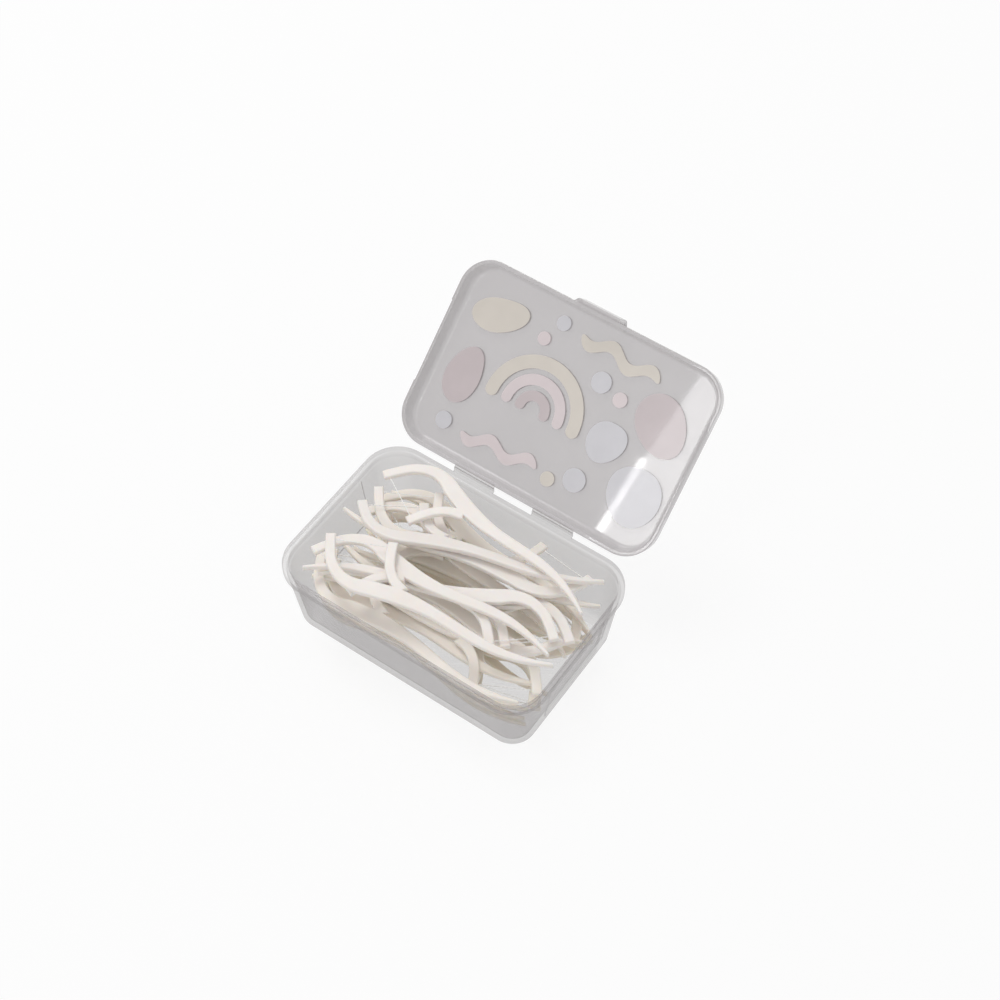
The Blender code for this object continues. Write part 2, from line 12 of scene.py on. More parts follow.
import bmesh
import bpy
import numpy as np
from mathutils import Matrix, Vector, kdtree


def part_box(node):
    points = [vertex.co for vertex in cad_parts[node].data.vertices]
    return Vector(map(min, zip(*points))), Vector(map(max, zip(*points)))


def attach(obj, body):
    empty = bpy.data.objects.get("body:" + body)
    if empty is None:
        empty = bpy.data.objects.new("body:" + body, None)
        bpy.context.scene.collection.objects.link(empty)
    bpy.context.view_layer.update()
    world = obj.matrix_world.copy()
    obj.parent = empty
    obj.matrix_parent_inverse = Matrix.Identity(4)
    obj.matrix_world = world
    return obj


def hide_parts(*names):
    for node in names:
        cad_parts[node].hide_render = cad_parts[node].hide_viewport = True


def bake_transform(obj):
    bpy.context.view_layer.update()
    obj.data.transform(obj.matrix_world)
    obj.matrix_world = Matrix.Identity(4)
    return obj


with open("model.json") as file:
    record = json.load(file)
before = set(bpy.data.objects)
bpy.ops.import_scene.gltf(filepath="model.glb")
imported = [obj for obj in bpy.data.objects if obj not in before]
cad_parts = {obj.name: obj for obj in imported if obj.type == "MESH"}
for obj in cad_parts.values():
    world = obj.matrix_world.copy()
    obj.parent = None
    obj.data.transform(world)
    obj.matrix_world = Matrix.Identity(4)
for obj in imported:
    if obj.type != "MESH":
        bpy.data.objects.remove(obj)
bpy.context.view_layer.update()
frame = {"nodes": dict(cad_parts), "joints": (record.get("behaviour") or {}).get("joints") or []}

MM = 0.001

# Camera, at the photograph's viewing angle
VIEW_AZIMUTH = 34.877
VIEW_ELEVATION = 54.392
VIEW_DISTANCE = 600.594 * MM
VIEW_TARGET = (-14.495 * MM, 44.042 * MM, 0)
VIEW_LENS = 70.704
SENSOR_WIDTH = 36

# Tray
TRAY_CORNER = 11.0 * MM
TRAY_HEIGHT = 27.0 * MM
WALL = 1.2 * MM
TRAY_DRAFT = 2.6 * MM
TRAY_FILLET = 3.0 * MM
FLANGE_HEIGHT = 2.5 * MM
FLANGE_REACH = 1.0 * MM
FLANGE_EDGE = 0.3 * MM
RIM_LEDGE = 0.3 * MM
RIM_EDGE = 0.2 * MM
TRAY_RECESS = (26.0 * MM, 0.4 * MM, 5.0 * MM, 22.5 * MM)

# Lid
SEAM_GAP = 0.3 * MM
LID_DEPTH = 6.0 * MM
LID_DRAFT = 0.4 * MM
LID_FILLET = 2.2 * MM
LID_INNER_FILLET = 1.4 * MM
LID_END_INSET = 0.5 * MM
LID_SIDE_OVERHANG = 0.15 * MM
LID_CORNER = 10.0 * MM
LID_RIM_EDGE = 0.25 * MM
LID_RECESS = (26.0 * MM, 0.35 * MM)

# Thumb tab
TAB_LENGTH = 15.6 * MM
TAB_CORNER = 1.0 * MM
TAB_THICKNESS = 1.0 * MM
TAB_RISE = 2.8 * MM
TAB_FLANGE_GAP = 0.55 * MM
TAB_DROP = 0.4 * MM
BEAD_REACH = 0.25 * MM
BEAD_HEIGHT = 0.5 * MM
EMBED = 0.4 * MM

# Print on both faces of the lid's panel
INK_THICKNESS = 0.02 * MM
PEBBLE_STEPS = 72
ARCH_STEPS = 32
ARCH_END_STEPS = 12
WAVE_STEPS = 48

# Living hinges
HINGE_OFFSET = 13.7 * MM
HINGE_LENGTH = 14.0 * MM
HINGE_REACH = 0.7 * MM
TONGUE_THICKNESS = 0.44 * MM
TONGUE_SHELF = 0.15 * MM
TONGUE_ROOT = 0.8 * MM
CREASE_GAP = 0.45 * MM
WEB_THICKNESS = 0.22 * MM

# Floss pick
PICK_LENGTH = 76.0 * MM
PICK_THICKNESS = 1.7 * MM
PICK_EDGE = 0.5 * MM
FLOSS_SPAN = 18.0 * MM
BOW_SLANT = math.radians(20.0)
ARM_WIDTH = 2.9 * MM
NECK_WIDTH = 5.6 * MM
HANDLE_WIDTH = 3.6 * MM
HANDLE_BOW = 1.3 * MM
TIP_HOOK = 3.4 * MM
TIP_WIDTH = 0.8 * MM
FLOSS_INSET = 1.5 * MM
FIBRE_RADIUS = 0.095 * MM
FIBRE_TWIST = 0.085 * MM
FIBRE_COUNT = 2
FIBRE_STEPS = 48
FIBRE_TURNS = 7
FIBRE_SIDES = 6
NARROW_SHARE = 0.35
SHARPEST_SHARE = 0.6
PLACE_TOLERANCE = 0.05 * MM

# Steps round curves: fine ones for what shows, and those of the CAD solids to find their places
CORNER_STEPS = 18
FILLET_STEPS = 8
EDGE_STEPS = 3
FINE_STEPS = (7, 30)
CAD_STEPS = (2, 8)

# Middle lines of the bow's two arms, from their ends in to the neck, as shares of the thread's span
LONG_ARM_SHARES = (
    (-0.50, 0.00), (-0.46, 0.23), (-0.38, 0.51), (-0.19, 0.75), (0.08, 0.87), (0.39, 0.88))
SHORT_ARM_SHARES = (
    (0.50, 0.00), (0.505, 0.23), (0.54, 0.47), (0.65, 0.69), (0.84, 0.86))

# Lights; the softbox and the strip lamp stand where the lid's inner face mirrors them along a line
# of the closed lid's plan
SKY_LEVEL = 0.68
FLOOR_SIZE = 6.0
FLOOR_GLOW = 0.85
KEY_PLACE = (-0.45, 0.25, 0.9)
KEY_SIZE = 0.4
KEY_WATTS = 2.6
MIRROR_REACH = 0.7
SOFTBOX_LINE = ((42.0 * MM, 32.0 * MM), (51.0 * MM, -32.0 * MM))
SOFTBOX_WIDTH = 76.0 * MM
SOFTBOX_WATTS = 0.22
STRIP_LINE = ((26.4 * MM, 27.0 * MM), (28.6 * MM, 2.0 * MM))
STRIP_WIDTH = 4.5 * MM
STRIP_WATTS = 0.013

# Colours; a haze is the plastic's alpha face on, its alpha at the edges, and its gloss
TRAY_GREY = (0.29, 0.262, 0.264, 1)
LID_GREY = (0.42, 0.39, 0.395, 1)
LIGHT_HELD_BACK = 0.2
TRAY_HAZE = (0.22, 0.52, 0.4)
LID_HAZE = (0.5, 0.72, 0.9)
PICK_WHITE = (0.89, 0.85, 0.815, 1)
PICK_CREAM = (0.88, 0.83, 0.785, 1)
# Painted warm shade for picks low in the pile, and the heights from where it is full to where it is
# gone
PICK_PAINTED_SHADE = (0.89, 0.83, 0.73, 1)
PAINTED_SHADE_DEPTHS = (6.0 * MM, 25.0 * MM)
THREAD_WHITE = (0.95, 0.94, 0.92, 1)
PRINT_COLOURS = {
    "beige": (0.65, 0.60, 0.54, 1),
    "pink": (0.68, 0.60, 0.61, 1),
    "mauve": (0.55, 0.48, 0.49, 1),
    "white": (0.60, 0.59, 0.62, 1),
}

low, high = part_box("tray")
TRAY_LENGTH = high.x - low.x
TRAY_WIDTH = -2 * low.y
LID_LENGTH = TRAY_LENGTH - 2 * LID_END_INSET
LID_WIDTH = TRAY_WIDTH + 2 * LID_SIDE_OVERHANG
LID_RIM_Z = TRAY_HEIGHT + SEAM_GAP
JOINT = frame["joints"][0]
HINGE = Vector(JOINT["pos_m"])
LID_OPEN = math.radians(-JOINT["range_deg"][0])
RIM_INSET = FLANGE_REACH + WALL - RIM_LEDGE
OPENED = Matrix.Translation(HINGE) @ Matrix.Rotation(-LID_OPEN, 4, "X") @ Matrix.Translation(-HINGE)


# Materials

def new_material(name):
    material = bpy.data.materials.new(name)
    material.use_nodes = True
    return material, material.node_tree


def shaded(colour, factor):
    """The colour made lighter or darker."""
    return tuple(min(1, factor * channel) for channel in colour[:3]) + (1,)


def noise(tree, scale, detail=2.0, stretch=(1, 1, 1)):
    """A noise texture in the piece's own metres."""
    place = tree.nodes.new("ShaderNodeTexCoord")
    mapping = tree.nodes.new("ShaderNodeMapping")
    mapping.inputs["Scale"].default_value = stretch
    texture = tree.nodes.new("ShaderNodeTexNoise")
    texture.inputs["Scale"].default_value = scale
    texture.inputs["Detail"].default_value = detail
    tree.links.new(place.outputs["Object"], mapping.inputs["Vector"])
    tree.links.new(mapping.outputs["Vector"], texture.inputs["Vector"])
    return texture.outputs["Fac"]


def ranged(tree, value, low_in, high_in, low_out, high_out):
    node = tree.nodes.new("ShaderNodeMapRange")
    node.inputs["From Min"].default_value = low_in
    node.inputs["From Max"].default_value = high_in
    node.inputs["To Min"].default_value = low_out
    node.inputs["To Max"].default_value = high_out
    tree.links.new(value, node.inputs["Value"])
    return node.outputs["Result"]


def mixed(tree, factor, first, second):
    """A mix of two colours, the first of which may come from another node."""
    node = tree.nodes.new("ShaderNodeMix")
    node.data_type = "RGBA"
    if isinstance(first, tuple):
        node.inputs["A"].default_value = first
    else:
        tree.links.new(first, node.inputs["A"])
    node.inputs["B"].default_value = second
    tree.links.new(factor, node.inputs["Factor"])
    return node.outputs["Result"]


def bumped(tree, height, strength, distance):
    node = tree.nodes.new("ShaderNodeBump")
    node.inputs["Strength"].default_value = strength
    node.inputs["Distance"].default_value = distance
    tree.links.new(height, node.inputs["Height"])
    return node.outputs["Normal"]


def joined(tree, operation, first, second):
    """Two numbers put together by a Math node."""
    node = tree.nodes.new("ShaderNodeMath")
    node.operation = operation
    tree.links.new(first, node.inputs[0])
    tree.links.new(second, node.inputs[1])
    return node.outputs["Value"]


def frosted_plastic(name, colour, face_alpha, edge_alpha, gloss):
    """Hazy polypropylene: see-through face on, thicker to the eye at its edges, and a plastic that
    scatters light on through it more than it holds it back."""
    material, tree = new_material(name)
    shader = tree.nodes["Principled BSDF"]
    cloud = ranged(tree, noise(tree, 35, 2), 0.3, 0.7, 0, 1)
    tree.links.new(mixed(tree, cloud, colour, shaded(colour, 0.94)), shader.inputs["Base Color"])
    shader.inputs["IOR"].default_value = 1.49
    shader.inputs["Specular IOR Level"].default_value = 0.5
    shader.inputs["Coat Weight"].default_value = gloss
    shader.inputs["Coat IOR"].default_value = 1.7
    shader.inputs["Coat Roughness"].default_value = 0.03
    facing = tree.nodes.new("ShaderNodeLayerWeight")
    facing.inputs["Blend"].default_value = 0.3
    alpha = ranged(tree, facing.outputs["Facing"], 0.1, 0.95, face_alpha, edge_alpha)
    path = tree.nodes.new("ShaderNodeLightPath")
    lighting = joined(
        tree, "MAXIMUM", path.outputs["Is Shadow Ray"], path.outputs["Is Diffuse Ray"])
    held_back = ranged(tree, lighting, 0, 1, 1, LIGHT_HELD_BACK)
    tree.links.new(joined(tree, "MULTIPLY", alpha, held_back), shader.inputs["Alpha"])
    sheen = ranged(tree, noise(tree, 260, 3), 0.3, 0.7, 0.28, 0.36)
    tree.links.new(sheen, shader.inputs["Roughness"])
    grain = bumped(tree, noise(tree, 2500, 2), 0.08, 0.03 * MM)
    tree.links.new(grain, shader.inputs["Normal"])
    return material


def pick_plastic():
    """Milky moulded plastic, with a painted warm shade low in the pile that stands for the light
    coming through other picks.
    """
    material, tree = new_material("pick_plastic")
    shader = tree.nodes["Principled BSDF"]
    cloud = ranged(tree, noise(tree, 70, 3), 0.35, 0.65, 0, 1)
    milky = mixed(tree, cloud, PICK_WHITE, PICK_CREAM)
    place = tree.nodes.new("ShaderNodeTexCoord")
    height = tree.nodes.new("ShaderNodeSeparateXYZ")
    tree.links.new(place.outputs["Object"], height.inputs["Vector"])
    # Painted warm shade: the picks' colour turns warmer the lower they lie in the pile
    depth = ranged(tree, height.outputs["Z"], *PAINTED_SHADE_DEPTHS, 1, 0)
    tree.links.new(mixed(tree, depth, milky, PICK_PAINTED_SHADE), shader.inputs["Base Color"])
    shader.inputs["Subsurface Weight"].default_value = 0.3
    shader.inputs["Subsurface Radius"].default_value = (1.0, 0.75, 0.5)
    shader.inputs["Subsurface Scale"].default_value = 0.001
    shader.inputs["Specular IOR Level"].default_value = 0.4
    sheen = ranged(tree, noise(tree, 300, 3), 0.3, 0.7, 0.36, 0.48)
    tree.links.new(sheen, shader.inputs["Roughness"])
    grain = bumped(tree, noise(tree, 1500, 2), 0.06, 0.04 * MM)
    tree.links.new(grain, shader.inputs["Normal"])
    return material


def thread_fibre():
    material, tree = new_material("floss_fibre")
    shader = tree.nodes["Principled BSDF"]
    shader.inputs["Base Color"].default_value = THREAD_WHITE
    shader.inputs["Roughness"].default_value = 0.35
    streak = bumped(tree, noise(tree, 4000, 2, (1, 0.2, 1)), 0.4, 0.02 * MM)
    tree.links.new(streak, shader.inputs["Normal"])
    return material


def print_ink(name, colour):
    """Matt ink under the plastic's own gloss, with a slightly uneven coat."""
    material, tree = new_material("print_" + name)
    shader = tree.nodes["Principled BSDF"]
    cloud = ranged(tree, noise(tree, 160, 4), 0.3, 0.7, 0, 1)
    tree.links.new(mixed(tree, cloud, colour, shaded(colour, 1.05)), shader.inputs["Base Color"])
    shader.inputs["Roughness"].default_value = 0.25
    shader.inputs["Coat Weight"].default_value = 0.45
    shader.inputs["Coat Roughness"].default_value = 0.03
    coat = bumped(tree, noise(tree, 900, 2), 0.10, 0.02 * MM)
    tree.links.new(coat, shader.inputs["Normal"])
    return material


def looked_at(tree):
    """One where the background is seen, straight or in gloss or glass, and zero where it lights."""
    path = tree.nodes.new("ShaderNodeLightPath")
    seen = joined(tree, "MAXIMUM", path.outputs["Is Camera Ray"], path.outputs["Is Glossy Ray"])
    return joined(tree, "MAXIMUM", seen, path.outputs["Is Transmission Ray"])


def floor_material(name, glow):
    """White, partly lit and partly glowing to what looks at it, so that shadows stay faint."""
    material, tree = new_material(name)
    tree.nodes.clear()
    paint = tree.nodes.new("ShaderNodeBsdfDiffuse")
    paint.inputs["Color"].default_value = (0.93, 0.93, 0.93, 1)
    light = tree.nodes.new("ShaderNodeEmission")
    light.inputs["Strength"].default_value = 1.0
    seen = tree.nodes.new("ShaderNodeMixShader")
    seen.inputs["Fac"].default_value = glow
    choose = tree.nodes.new("ShaderNodeMixShader")
    output = tree.nodes.new("ShaderNodeOutputMaterial")
    tree.links.new(paint.outputs["BSDF"], seen.inputs[1])
    tree.links.new(light.outputs["Emission"], seen.inputs[2])
    tree.links.new(looked_at(tree), choose.inputs["Fac"])
    tree.links.new(paint.outputs["BSDF"], choose.inputs[1])
    tree.links.new(seen.outputs["Shader"], choose.inputs[2])
    tree.links.new(choose.outputs["Shader"], output.inputs["Surface"])
    return material


# Meshes

def mesh_from(shape, name, sharp_degrees=35):
    bmesh.ops.recalc_face_normals(shape, faces=shape.faces)
    mesh = bpy.data.meshes.new(name)
    shape.to_mesh(mesh)
    shape.free()
    mesh.shade_smooth()
    mesh.set_sharp_from_angle(angle=math.radians(sharp_degrees))
    return mesh


def add_object(name, data):
    """An object of this mesh, lamp or camera, linked to the scene."""
    made = bpy.data.objects.new(name, data)
    bpy.context.scene.collection.objects.link(made)
    return made


def add_piece(name, mesh, material, body, matrix=None):
    """A new object whose mesh is first laid where the matrix puts it."""
    if matrix is not None:
        mesh.transform(matrix)
    piece = add_object(name, mesh)
    piece.data.materials.append(material)
    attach(piece, body)
    return piece


def flatten_normals(piece):
    """Normals that keep wide flat faces flat beside rounded edges."""
    modifier = piece.modifiers.new("flat_faces", "WEIGHTED_NORMAL")
    modifier.keep_sharp = True
    modifier.weight = 80


def arc(middle, radius, first, last, steps):
    """Profile points round a circle in (inset, height), between two angles in degrees."""
    points = []
    for step in range(steps + 1):
        angle = math.radians(first + (last - first) * step / steps)
        inset = middle[0] - radius * math.cos(angle)
        height = middle[1] + radius * math.sin(angle)
        points.append((inset, height))
    return points


def rounded_outline(length, width, corner, inset):
    radius = max(corner - inset, corner / CORNER_STEPS)
    middle_x = length / 2 - inset - radius
    middle_y = width / 2 - inset - radius
    points = []
    for quarter, (side_x, side_y) in enumerate(((1, 1), (-1, 1), (-1, -1), (1, -1))):
        for step in range(CORNER_STEPS + 1):
            angle = (quarter + step / CORNER_STEPS) * math.pi / 2
            x = side_x * middle_x + radius * math.cos(angle)
            y = side_y * middle_y + radius * math.sin(angle)
            points.append((x, y))
    return points


def skin(shape, rings):
    """Faces between each ring of vertices and the next, and over both ends."""
    count = len(rings[0])
    for lower, upper in zip(rings, rings[1:]):
        for i in range(count):
            j = (i + 1) % count
            shape.faces.new((lower[i], lower[j], upper[j], upper[i]))
    shape.faces.new(rings[0])
    shape.faces.new(rings[-1])


def shell_from_profile(profile, length, width, corner, base, name):
    """A closed shell with one ring for each (inset, height)."""
    shape = bmesh.new()
    rings = []
    for inset, height in profile:
        outline = rounded_outline(length, width, corner, inset)
        rings.append([shape.verts.new((x, y, base + height)) for x, y in outline])
    skin(shape, rings)
    return mesh_from(shape, name)


def prism_along_x(section, length, middle_x, name):
    shape = bmesh.new()
    ends = []
    for side in (-1, 1):
        x = middle_x + side * length / 2
        ends.append([shape.verts.new((x, y, z)) for y, z in section])
    skin(shape, ends)
    return mesh_from(shape, name)


def slab(length, depth, bottom, top, middle_x, name):
    """An upright slab across X, as deep to either side of its middle."""
    half = length / 2
    section = ((-half, bottom), (half, bottom), (half, top), (-half, top))
    return prism_along_x(section, 2 * depth, middle_x, name)


def combine(piece, mesh, operation):
    """Unite a solid with the piece or cut it away, and keep only the result."""
    tool = add_object(mesh.name, mesh)
    modifier = piece.modifiers.new(mesh.name, "BOOLEAN")
    modifier.operation = operation
    modifier.object = tool
    bpy.context.view_layer.update()
    graph = bpy.context.evaluated_depsgraph_get()
    result = bpy.data.meshes.new_from_object(piece.evaluated_get(graph))
    piece.modifiers.clear()
    piece.data = result
    bpy.data.objects.remove(tool, do_unlink=True)


# Tray

def tray_profile():
    foot = FLANGE_REACH + TRAY_DRAFT
    flange_foot = TRAY_HEIGHT - FLANGE_HEIGHT
    inner_radius = TRAY_FILLET - WALL / 2
    outer = arc((foot + TRAY_FILLET, TRAY_FILLET), TRAY_FILLET, -90, 0, FILLET_STEPS)
    outer.append((FLANGE_REACH, flange_foot))
    outer += arc((FLANGE_EDGE, flange_foot + FLANGE_EDGE), FLANGE_EDGE, -90, 0, EDGE_STEPS)
    outer += arc((FLANGE_EDGE, TRAY_HEIGHT - FLANGE_EDGE), FLANGE_EDGE, 0, 90, EDGE_STEPS)
    rim = arc((RIM_INSET - RIM_EDGE, TRAY_HEIGHT - RIM_EDGE), RIM_EDGE, 90, 180, EDGE_STEPS)
    ledge = [(RIM_INSET, flange_foot), (FLANGE_REACH + WALL, flange_foot)]
    inner_middle = (foot + WALL + inner_radius, WALL + inner_radius)
    inner = arc(inner_middle, inner_radius, 0, -90, FILLET_STEPS)
    return outer + rim + ledge + inner


def tongue_section():
    half = TONGUE_THICKNESS / 2
    top = HINGE.z - CREASE_GAP
    shelf = TRAY_HEIGHT - TONGUE_SHELF
    root_y = HINGE.y - HINGE_REACH - EMBED
    root_z = shelf - TONGUE_ROOT
    return (
        (HINGE.y + half, top), (HINGE.y - half, top), (HINGE.y - half, shelf), (root_y, shelf),
        (root_y, root_z), (HINGE.y, root_z + half), (HINGE.y + half, shelf - half))


def tray_recess_cutter(side):
    """A slab that lies in the sloping short wall and leaves a shallow recess."""
    length, depth, bottom, top = TRAY_RECESS
    wall_top = TRAY_HEIGHT - FLANGE_HEIGHT
    lean = TRAY_DRAFT / (wall_top - TRAY_FILLET)
    mesh = slab(length, depth, bottom, top, 0, "tray_recess")
    for vertex in mesh.vertices:
        inset = FLANGE_REACH + (wall_top - vertex.co.z) * lean
        vertex.co.x += side * (TRAY_LENGTH / 2 - inset)
    return mesh


def build_tray(material):
    mesh = shell_from_profile(tray_profile(), TRAY_LENGTH, TRAY_WIDTH, TRAY_CORNER, 0, "tray_fine")
    tray = add_piece("tray_shell", mesh, material, "box")
    for side in (-1, 1):
        tongue = prism_along_x(tongue_section(), HINGE_LENGTH, side * HINGE_OFFSET, "tongue")
        combine(tray, tongue, "UNION")
        combine(tray, tray_recess_cutter(side), "DIFFERENCE")
    flatten_normals(tray)
    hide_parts("tray")


def build_webs(material):
    """The living hinges: thin curved webs from the tongues to the lid as it stands open."""
    start = Vector((0, HINGE.y, HINGE.z - CREASE_GAP - WEB_THICKNESS))
    skirt_y = LID_WIDTH / 2 - LID_RIM_EDGE
    end = OPENED @ Vector((0, skirt_y, HINGE.z))
    middle = Vector(HINGE) + Vector((0, WEB_THICKNESS, 0))
    for side, place in ((-1, "left"), (1, "right")):
        shape = bmesh.new()
        rows = []
        steps = 2 * FILLET_STEPS
        for step in range(steps + 1):
            t = step / steps
            point = start * (1 - t) ** 2 + middle * 2 * t * (1 - t) + end * t ** 2
            ahead = (middle - start) * (1 - t) + (end - middle) * t
            across = Vector((0, -ahead.z, ahead.y)).normalized() * WEB_THICKNESS / 2
            row = []
            for offset, along in ((across, -1), (across, 1), (-across, 1), (-across, -1)):
                x = side * HINGE_OFFSET + along * HINGE_LENGTH / 2
                row.append(shape.verts.new((x, point.y + offset.y, point.z + offset.z)))
            rows.append(row)
        skin(shape, rows)
        name = "hinge_web_" + place
        web = add_object(name, mesh_from(shape, name))
        web.data.materials.append(material)
        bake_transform(web)
        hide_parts("hinge_film_" + place)


# Lid, modelled closed and then opened about its hinge

def lid_profile():
    shoulder = LID_DEPTH - LID_FILLET
    outer = arc((LID_DRAFT + LID_FILLET, shoulder), LID_FILLET, 90, 0, FILLET_STEPS)
    rim = arc((LID_RIM_EDGE, LID_RIM_EDGE), LID_RIM_EDGE, 0, -90, EDGE_STEPS)
    rim += arc((WALL - LID_RIM_EDGE, LID_RIM_EDGE), LID_RIM_EDGE, -90, -180, EDGE_STEPS)
    inner_middle = (LID_DRAFT + WALL + LID_INNER_FILLET, LID_DEPTH - WALL - LID_INNER_FILLET)
    inner = arc(inner_middle, LID_INNER_FILLET, 0, 90, FILLET_STEPS)
    return outer + rim + inner


def tab_section():
    inner = TAB_FLANGE_GAP - LID_SIDE_OVERHANG
    outer = inner + TAB_THICKNESS
    drop = SEAM_GAP + FLANGE_HEIGHT + TAB_DROP
    ease = TAB_THICKNESS / 3
    return (
        (-EMBED, TAB_RISE), (outer - ease, TAB_RISE), (outer, TAB_RISE - ease),
        (outer, ease - drop), (outer - ease, -drop), (inner - BEAD_REACH, -drop),
        (inner - BEAD_REACH, BEAD_HEIGHT - drop), (inner, BEAD_HEIGHT + BEAD_REACH - drop),
        (inner, SEAM_GAP), (-EMBED, SEAM_GAP))


def tab_mesh():
    rim_y = -LID_WIDTH / 2
    section = [(rim_y - out, LID_RIM_Z + height) for out, height in tab_section()]
    mesh = prism_along_x(section, TAB_LENGTH, 0, "thumb_tab")
    outer_y = min(y for y, height in section)
    for vertex in mesh.vertices:
        if vertex.co.y < outer_y + TAB_CORNER:
            slant = TAB_CORNER * (1 - (vertex.co.y - outer_y) / TAB_CORNER)
            vertex.co.x -= math.copysign(slant, vertex.co.x)
    return mesh


def lid_recess_cutter(side):
    length, depth = LID_RECESS
    bottom = LID_RIM_Z - WALL
    top = LID_RIM_Z + LID_DEPTH - LID_FILLET
    return slab(length, depth, bottom, top, side * LID_LENGTH / 2, "lid_recess")


def build_lid(material):
    mesh = shell_from_profile(
        lid_profile(), LID_LENGTH, LID_WIDTH, LID_CORNER, LID_RIM_Z, "lid_fine")
    lid = add_object("lid_shell", mesh)
    lid.data.materials.append(material)
    combine(lid, tab_mesh(), "UNION")
    for side in (-1, 1):
        combine(lid, lid_recess_cutter(side), "DIFFERENCE")
    lid.data.transform(OPENED)
    flatten_normals(lid)
    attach(lid, "lid")
    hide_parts("lid")


# Picks and threads

def bow_point(shares):
    turned = []
    for along, away in (LONG_ARM_SHARES[0], LONG_ARM_SHARES[-1], shares):
        x = along * math.cos(BOW_SLANT) + away * math.sin(BOW_SLANT)
        y = away * math.cos(BOW_SLANT) - along * math.sin(BOW_SLANT)
        turned.append((x * FLOSS_SPAN, y * FLOSS_SPAN))
    (start_x, _), (_, neck_y), (x, y) = turned
    return x - start_x + ARM_WIDTH / 3 - PICK_LENGTH / 2, y - neck_y


def smooth(points, steps):
    """A smooth curve through the points, with the same few steps between each two."""
    points = [np.array(point) for point in points]
    before = 2 * points[0] - points[1]
    after = 2 * points[-1] - points[-2]
    padded = [before] + points + [after]
    curve = []
    for p0, p1, p2, p3 in zip(padded, padded[1:], padded[2:], padded[3:]):
        for step in range(steps):
            t = step / steps
            slope = (p2 - p0) * t + (2 * p0 - 5 * p1 + 4 * p2 - p3) * t ** 2
            curve.append(p1 + (slope + (3 * p1 - p0 - 3 * p2 + p3) * t ** 3) / 2)
    return curve + [points[-1]]


def spine(curve_steps, handle_steps):
    """Middle line and widths from the long arm's end, round the bow and along the handle."""
    middle = smooth([bow_point(shares) for shares in LONG_ARM_SHARES], curve_steps)
    count = len(middle) - 1
    widths = [ARM_WIDTH + (NECK_WIDTH - ARM_WIDTH) * (i / count) ** 3 for i in range(count + 1)]
    start_x = middle[-1][0]
    for step in range(1, handle_steps + 1):
        share = step / handle_steps
        x = start_x + share * (PICK_LENGTH / 2 - start_x)
        y = -HANDLE_BOW * math.sin(2 * math.pi * share) - TIP_HOOK * share ** 4
        broad = HANDLE_WIDTH + (NECK_WIDTH - HANDLE_WIDTH) * max(1 - 3 * share, 0)
        middle.append(np.array((x, y)))
        widths.append(TIP_WIDTH + (broad - TIP_WIDTH) * (1 - share ** 3))
    return middle, widths


def sides(middle, widths):
    """Points along both sides of a strip, each with the strip's width there."""
    left, right = [], []
    for i, point in enumerate(middle):
        ahead = middle[min(i + 1, len(middle) - 1)] - middle[max(i - 1, 0)]
        across = np.array((-ahead[1], ahead[0])) / math.hypot(*ahead) * widths[i] / 2
        left.append((*(point + across), widths[i]))
        right.append((*(point - across), widths[i]))
    return left, right


def pick_outline(curve_steps, handle_steps):
    """The pick's plan, each row a point and the width of the strip that it bounds."""
    middle, widths = spine(curve_steps, handle_steps)
    outer, inner = sides(middle, widths)
    prong = smooth([bow_point(shares) for shares in SHORT_ARM_SHARES], curve_steps)
    prong_outer, prong_inner = sides(prong, [ARM_WIDTH] * len(prong))[::-1]
    bow_count = (len(LONG_ARM_SHARES) - 1) * curve_steps + 1
    skipped = curve_steps // 2
    handle = inner[bow_count + skipped:]
    crotch = [point for point in prong_inner[:-1] if point[1] < inner[bow_count - 1][1]]
    inner_bow = inner[:bow_count - skipped][::-1]
    return np.array(outer + handle[::-1] + prong_outer[::-1] + crotch + inner_bow)


def drawn_in(outline, inset):
    """The plan drawn in square to its sides, and by less where its strip is narrow."""
    plan, widths = outline[:, :2], outline[:, 2]
    before = plan - np.roll(plan, 1, 0)
    after = np.roll(plan, -1, 0) - plan
    before /= np.linalg.norm(before, axis=1)[:, None]
    after /= np.linalg.norm(after, axis=1)[:, None]
    along = before + after
    along /= np.linalg.norm(along, axis=1)[:, None]
    inward = np.column_stack([along[:, 1], -along[:, 0]])
    square = np.maximum((along * after).sum(1), SHARPEST_SHARE)
    reach = np.minimum(inset, NARROW_SHARE * widths * inset / PICK_EDGE)
    return plan + inward * (reach / square)[:, None]


def pick_mesh():
    """A pick with rounded edges, made of rings from its lower face to its upper face."""
    outline = pick_outline(*FINE_STEPS)
    x, y = outline[:, 0], outline[:, 1]
    if (x * np.roll(y, -1) - y * np.roll(x, -1)).sum() > 0:
        outline = outline[::-1]
    half = PICK_THICKNESS / 2
    profile = arc((PICK_EDGE, half - PICK_EDGE), PICK_EDGE, 90, 0, EDGE_STEPS + 1)
    profile = profile + [(inset, -height) for inset, height in profile[::-1]]
    shape = bmesh.new()
    rings = []
    for inset, height in profile:
        ring = drawn_in(outline, inset)
        rings.append([shape.verts.new((px, py, height)) for px, py in ring])
    skin(shape, rings)
    return mesh_from(shape, "pick_fine", sharp_degrees=50)


